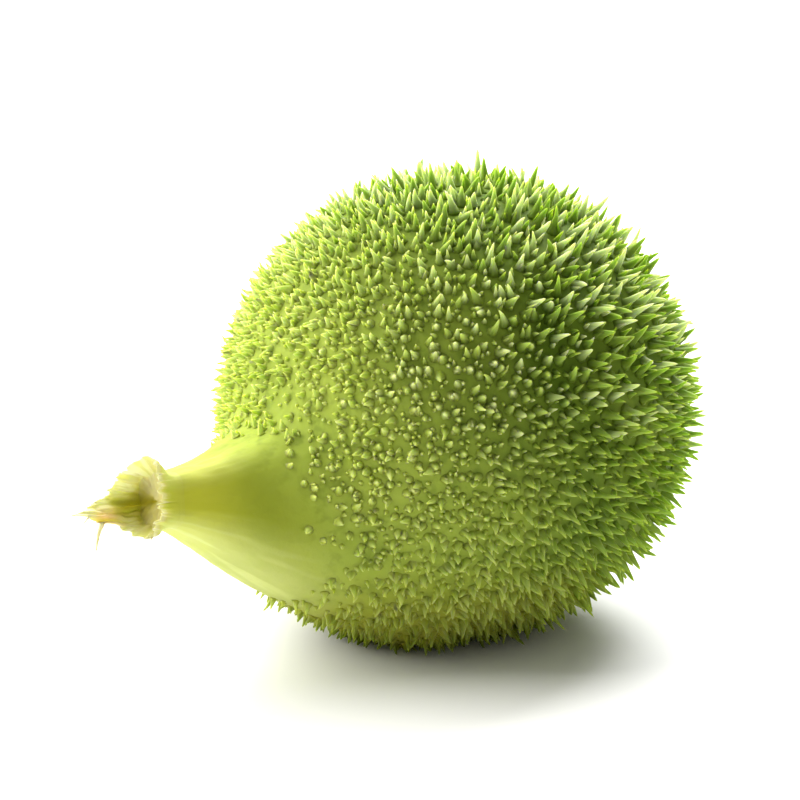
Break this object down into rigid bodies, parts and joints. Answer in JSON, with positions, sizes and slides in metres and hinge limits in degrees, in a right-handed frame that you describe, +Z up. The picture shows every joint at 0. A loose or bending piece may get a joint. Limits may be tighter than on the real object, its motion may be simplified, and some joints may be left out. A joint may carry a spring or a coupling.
{
  "type": "spiny gourd",
  "caption": "Whole round green gourd covered in soft short spines, lying on its side, with a curved ribbed neck that ends in a torn dry stalk cup.",
  "frame": {"origin": "middle of the bottom of the whole fruit's box, on the surface it lies on", "axes": "+Z up from the surface; the neck and its torn stalk point along -X and the blossom end along +X"},
  "size_m": [0.0618, 0.042, 0.0399],
  "materials": {
    "gourd_skin": "living green fruit skin, satin, paler towards the spine tips and the neck ridges",
    "dry_stalk": "dry torn plant fibre, matt, cream outside and olive brown in the hollow"
  },
  "bodies": {
    "root": {"gourd": "gourd_skin", "stem_end": "dry_stalk"}
  },
  "joints": []
}
